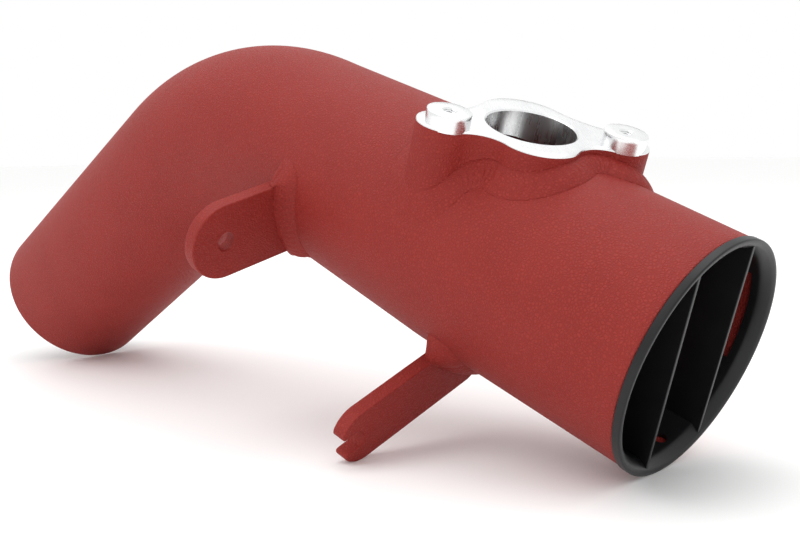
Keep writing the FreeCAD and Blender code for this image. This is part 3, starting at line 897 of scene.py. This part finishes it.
def build_ring(plastic):
    profile = [(LIP - 0.06, LIP_EDGE_R + 0.30), (LIP - 0.22, LIP_EDGE_R + 0.06)]
    profile += bell_curve(14)[1:]
    profile += [(x, SLEEVE_R) for x in spaced(-3.0, -SLEEVE + 0.4, 3.0)]
    fit_r = SLEEVE_OUT_R - SLEEVE_GAP
    profile += [(-SLEEVE, SLEEVE_R + 0.4), (-SLEEVE, fit_r - 0.4), (-SLEEVE + 0.4, fit_r)]
    profile += [(-0.02, fit_r), (0.02, SLEEVE_OUT_R + 0.2), (0.02, LIP_R - 0.25), (0.25, LIP_R)]
    profile += [
        (x, r) for r, x in arc((LIP_R - LIP_ROUND, LIP - LIP_ROUND), LIP_ROUND, 0, math.pi / 2, 5)
    ]
    profile += [(LIP, LIP_EDGE_R + 0.5)]
    ring = mesh_object("straightener", *lathe(profile, 200, Matrix.Identity(4), loop=True))
    sector = []
    inner = SLEEVE_R * 0.94
    outer = SLEEVE_OUT_R + 0.6
    for degrees in spaced(WINDOW_LOW, WINDOW_HIGH, 3.0):
        angle = math.radians(degrees)
        way = Vector((0, math.cos(angle), math.sin(angle)))
        front = Vector((-WINDOW_FRONT, 0, 0))
        back = Vector((-WINDOW_BACK, 0, 0))
        sector.append([
            way * inner + front, way * outer + front, way * outer + back, way * inner + back,
        ])
    window = mesh_object("window", *loft(sector, caps=True))
    radial = Vector((0, math.cos(LOCK_ANGLE), math.sin(LOCK_ANGLE)))
    side = Vector((0, -math.sin(LOCK_ANGLE), math.cos(LOCK_ANGLE)))
    base = Matrix((radial, Vector((1, 0, 0)), side)).transposed().to_4x4()
    base = Matrix.Translation((-LOCK_STATION, 0, 0)) @ base
    lock = mesh_object("lock", *lathe([(32, LOCK_R), (37, LOCK_R)], 36, base, caps=True))
    cut_away(ring, window, lock)
    show(ring, [plastic], ["straightener_ring"])


def inside_radius(x):
    """Inside radius of the ring at a station, through the bell and the sleeve."""
    if x <= THROAT:
        return SLEEVE_R
    curve = bell_curve(24)
    for (x1, r1), (x2, r2) in zip(curve, curve[1:]):
        if x2 <= x <= x1:
            return r1 + (r2 - r1) * (x1 - x) / (x1 - x2)
    return LIP_EDGE_R


def build_vane(name, side, node, plastic):
    """Flat vane across the ring, its ends let into the ring's wall."""
    upper = []
    for x in spaced(VANE_FRONT, THROAT, 0.4) + [-8.0, -14.0, VANE_BACK]:
        upper.append((x, math.sqrt((inside_radius(x) + VANE_LET_IN) ** 2 - VANE_OFFSET ** 2)))
    outline = upper + [(x, -chord) for x, chord in reversed(upper)]
    across = Vector((0, math.cos(VANE_ROLL), math.sin(VANE_ROLL)))
    along = Vector((0, -math.sin(VANE_ROLL), math.cos(VANE_ROLL)))
    start = across * (side * VANE_OFFSET - VANE / 2)
    points = [Vector((x, 0, 0)) + along * chord + start for x, chord in outline]
    vane = slab(name, points, across * VANE, VANE_EDGE)
    show(vane, [plastic], [node])
    flat_normals(vane)


# ---------------------------------------------------------------- stage
CAMERA_AT = Vector((0.315594, -0.274797, 0.098846))
CAMERA_AZIMUTH = math.radians(42.33)
CAMERA_ELEVATION = math.radians(6.85)
CAMERA_ROLL = math.radians(0.79)
LENS_MM = 49.643
LIT = Vector((0.0, 0.0, 0.05))  # what the lamps point at
FLOOR_HALF = 6.0


def area_light(name, place, width, depth, power):
    """Soft lamp aimed at the pipe."""
    light = bpy.data.lights.new(name, "AREA")
    light.shape = "RECTANGLE"
    light.size = width
    light.size_y = depth
    light.energy = power
    lamp = bpy.data.objects.new(name, light)
    lamp.location = place
    lamp.rotation_euler = (LIT - Vector(place)).to_track_quat("-Z", "Y").to_euler()
    bpy.context.collection.objects.link(lamp)


def build_stage():
    corners = [(a * FLOOR_HALF, b * FLOOR_HALF, 0) for a, b in ((-1, -1), (1, -1), (1, 1), (-1, 1))]
    floor = mesh_object("floor", corners, [(0, 1, 2, 3)], Matrix.Identity(4))
    paint = Paint("pale_floor")
    tone = paint.grain(60.0, 2.0)
    paint.shade(
        Base_Color=paint.blend(tone, rgb(0.965, 0.965, 0.96), rgb(0.98, 0.98, 0.975)),
        Roughness=0.55,
        Specular_IOR_Level=0.25,
    )
    floor.data.materials.append(paint.material)
    world = bpy.data.worlds.new("studio")
    world.use_nodes = True
    world.node_tree.nodes["Background"].inputs["Color"].default_value = rgb(1, 1, 1)
    world.node_tree.nodes["Background"].inputs["Strength"].default_value = 1.0
    bpy.context.scene.world = world
    area_light("key", (-0.35, -0.55, 1.1), 0.9, 0.9, 4.0)
    area_light("top", (0.1, 0.25, 1.2), 1.4, 0.8, 5.6)
    view = bpy.data.cameras.new("camera")
    view.lens = LENS_MM
    view.sensor_width = 36.0
    camera = bpy.data.objects.new("camera", view)
    aim = Matrix.Rotation(CAMERA_AZIMUTH, 4, "Z")
    aim = aim @ Matrix.Rotation(math.pi / 2 - CAMERA_ELEVATION, 4, "X")
    aim = aim @ Matrix.Rotation(-CAMERA_ROLL, 4, "Z")
    camera.matrix_world = Matrix.Translation(CAMERA_AT) @ aim
    bpy.context.collection.objects.link(camera)
    bpy.context.scene.camera = camera
    bpy.context.scene.view_settings.view_transform = "Standard"


# ---------------------------------------------------------------- build
red = wrinkle_coat()
face_metal = machined_metal("machined_face", (1.0, 0.06, 1.0))
bore_metal = machined_metal("machined_bore", (0.6, 0.6, 0.05))
black = black_moulding()
build_tube(red)
build_flange(red, face_metal, bore_metal)
build_boss("boss_near", "flange_tap_near", face_metal)
build_boss("boss_far", "flange_tap_far", face_metal)
build_flange_bead(red)
build_upper_tab(red)
build_lower_tab(red)
build_ring(black)
build_vane("vane_near", -1, "straightener_vane_near", black)
build_vane("vane_far", 1, "straightener_vane_far", black)
build_stage()
